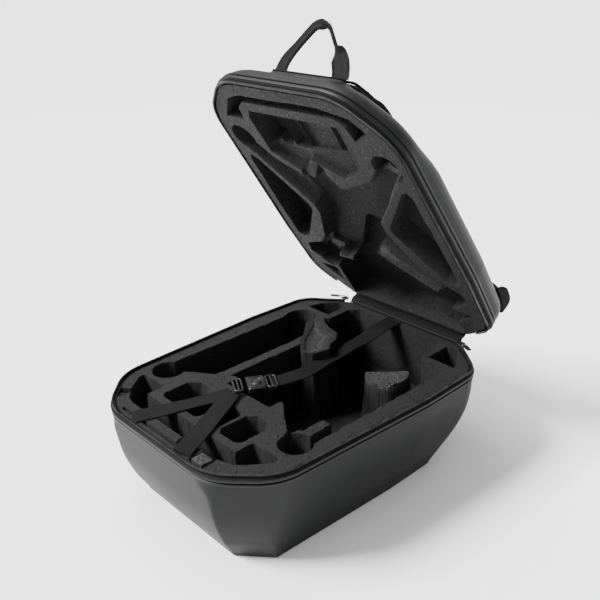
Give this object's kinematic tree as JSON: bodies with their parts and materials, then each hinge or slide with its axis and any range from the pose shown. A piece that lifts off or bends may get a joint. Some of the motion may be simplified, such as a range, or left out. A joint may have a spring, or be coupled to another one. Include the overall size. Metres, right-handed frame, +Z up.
{
  "type": "drone carrying case",
  "caption": "Open hard-shell backpack case for a quadcopter: deep foam-lined base, leaning foam-lined lid, retaining strap, zipper rims, carry handle and shoulder straps.",
  "frame": {"origin": "centre of the flat bottom that the case rests on", "axes": "+Z up, +Y from the handle end to the hinge end, +X across the case"},
  "size_m": [0.3426, 0.4795, 0.5741],
  "materials": {
    "shell": "fine matt moulded texture with a soft sheen",
    "rim": "satin rubbery moulding",
    "tape": "woven tape",
    "teeth": "satin coil",
    "foam": "moulded bead foam",
    "plug_foam": "moulded bead foam",
    "webbing": "flat woven webbing",
    "handle_webbing": "flat woven webbing",
    "buckle_plastic": "satin moulded",
    "gusset_fabric": "dense woven fabric",
    "piping": "woven cord edging",
    "zipper_metal": "satin plated",
    "rivet_metal": "satin plated",
    "back_mesh": "air mesh",
    "strap_mesh": "air mesh with bound edges"
  },
  "bodies": {
    "base": {"base_shell": "shell", "base_rim_trim": "rim", "base_zipper_tape": "tape", "base_zipper_teeth": "teeth", "base_foam_floor": "foam", "base_foam_nose": "foam", "base_foam_left_rail": "foam", "base_foam_right_rail": "foam", "base_foam_tail": "foam", "base_foam_divider": "foam", "base_foam_left_saddle": "foam", "base_foam_right_saddle": "foam", "strap_tail_left": "webbing", "strap_tail_right": "webbing", "strap_long": "webbing", "buckle_adjuster": "buckle_plastic", "buckle_socket": "buckle_plastic", "hinge_gusset": "gusset_fabric", "hinge_piping": "piping", "zipper_slider_left": "zipper_metal", "zipper_slider_right": "zipper_metal"},
    "lid": {"lid_shell": "shell", "lid_rim_trim": "rim", "lid_zipper_tape": "tape", "lid_zipper_teeth": "teeth", "lid_foam_backing": "foam", "lid_foam_rim": "foam", "lid_foam_nose_floor": "foam", "lid_foam_nose_left_island": "foam", "lid_foam_nose_right_island": "foam", "lid_foam_nose_left_lobe": "foam", "lid_foam_nose_right_lobe": "foam", "lid_foam_left_island": "foam", "lid_foam_right_island": "foam", "lid_foam_tail_left": "foam", "lid_foam_tail_right": "foam", "back_pad": "back_mesh", "shoulder_strap_left": "strap_mesh", "shoulder_strap_right": "strap_mesh", "strap_ladder_left": "buckle_plastic", "strap_ladder_right": "buckle_plastic", "strap_web_left": "webbing", "strap_web_right": "webbing", "strap_lug_left": "gusset_fabric", "strap_lug_right": "gusset_fabric", "handle_anchor": "gusset_fabric", "lid_rivets": "rivet_metal"},
    "handle": {"top_handle": "handle_webbing"},
    "pull_left": {"zipper_pull_left": "zipper_metal"},
    "pull_right": {"zipper_pull_right": "zipper_metal"},
    "button": {"buckle_button": "buckle_plastic"},
    "tongue": {"buckle_tongue": "buckle_plastic"},
    "plug": {"foam_plug": "plug_foam"}
  },
  "joints": [
    {"name": "lid_hinge", "type": "hinge", "parent": "base", "child": "lid", "pos_m": [0, 0.224, 0.137], "axis": [-1, 0, 0], "range_deg": [-56, 44], "deforming": ["hinge_gusset"]},
    {"name": "handle_fold", "type": "hinge", "parent": "lid", "child": "handle", "pos_m": [0, 0.03969, 0.51326], "axis": [1, 0, 0], "range_deg": [-25, 25]},
    {"name": "zipper_pull_left_swing", "type": "hinge", "parent": "base", "child": "pull_left", "pos_m": [-0.1127, 0.2107, 0.1452], "axis": [-0.4695, 0.8829, 0], "range_deg": [0, 68]},
    {"name": "zipper_pull_right_swing", "type": "hinge", "parent": "base", "child": "pull_right", "pos_m": [0.1127, 0.2107, 0.1452], "axis": [-0.4695, -0.8829, 0], "range_deg": [0, 68]},
    {"name": "buckle_button_press", "type": "slide", "parent": "base", "child": "button", "axis": [0, 0, -1], "range_m": [0, 0.0015], "stiffness_N_per_m": 800},
    {"name": "buckle_release", "type": "slide", "parent": "base", "child": "tongue", "axis": [0.5, 0.866, 0], "range_m": [0, 0.018], "deforming": ["strap_long"]},
    {"name": "foam_plug_lift", "type": "slide", "parent": "base", "child": "plug", "axis": [0, 0, 1], "range_m": [0, 0.04]}
  ]
}
